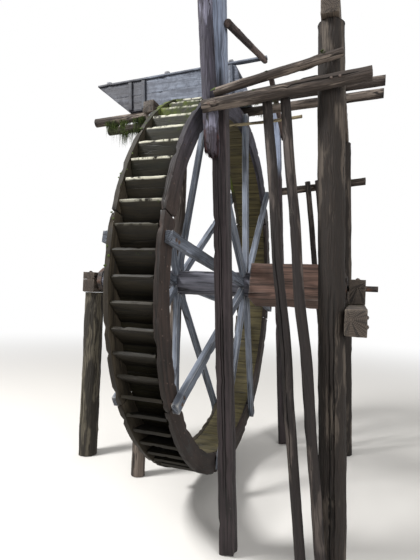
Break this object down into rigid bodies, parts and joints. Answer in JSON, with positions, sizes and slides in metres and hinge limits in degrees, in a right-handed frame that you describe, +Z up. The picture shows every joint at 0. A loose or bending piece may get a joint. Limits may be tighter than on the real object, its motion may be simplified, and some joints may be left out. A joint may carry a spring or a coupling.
{
  "type": "overshot water wheel with flume and post frame",
  "caption": "Overshot wooden water wheel with slanted bucket boards, two spoked rings and a timber axle, on a post frame with a wooden flume above it.",
  "frame": {"origin": "on the lowest ground, under the middle of the wheel's rim", "axes": "+X in the plane of the wheel, towards its rising side; +Y along the axle, from the near squared butt to the far bearing; +Z up"},
  "size_m": [4, 3.5, 4.8],
  "materials": {
    "wet_wood": "damp dark hewn timber",
    "mossy_wood": "wet boards with moss and algae",
    "grey_wood": "weathered silver-grey timber",
    "bark_wood": "rough weathered posts and logs",
    "pale_wood": "pale weathered poles",
    "iron": "rusted iron"
  },
  "bodies": {
    "frame": {"left_squared_post": "bark_wood", "right_squared_post": "bark_wood", "broken_log": "bark_wood", "left_tie_log": "bark_wood", "right_tie_log": "bark_wood", "left_rail": "pale_wood", "left_props": "bark_wood", "right_props": "bark_wood", "left_tall_post": "bark_wood", "right_tall_post": "bark_wood", "near_head_beam": "bark_wood", "near_bearing_beam": "bark_wood", "near_bearing_block": "bark_wood", "near_bearing_cap": "bark_wood", "left_far_post": "bark_wood", "right_far_post": "bark_wood", "far_head_beam": "bark_wood", "far_bearing_post": "pale_wood", "far_bearing_block": "bark_wood", "far_bearing_cap": "bark_wood", "left_bearer_log": "bark_wood", "right_bearer_log": "bark_wood", "flume_floor": "wet_wood", "flume_left_side": "grey_wood", "flume_right_side": "grey_wood", "flume_spreaders": "grey_wood", "left_cross_pole": "pale_wood", "right_cross_pole": "pale_wood"},
    "wheel": {"near_ring": "wet_wood", "far_ring": "wet_wood", "near_spokes": "grey_wood", "far_spokes": "grey_wood", "buckets_1": "mossy_wood", "buckets_2": "mossy_wood", "buckets_3": "mossy_wood", "buckets_4": "mossy_wood", "buckets_5": "mossy_wood", "buckets_6": "mossy_wood", "buckets_7": "mossy_wood", "buckets_8": "mossy_wood", "sole_1": "mossy_wood", "sole_2": "mossy_wood", "sole_3": "mossy_wood", "sole_4": "mossy_wood", "axle": "grey_wood", "axle_hoops": "iron", "near_gudgeon": "iron", "far_gudgeon": "iron"}
  },
  "joints": [
    {"name": "wheel_turn", "type": "hinge", "parent": "frame", "child": "wheel", "pos_m": [0, 0, 2.2], "axis": [0, -1, 0], "continuous": true}
  ]
}
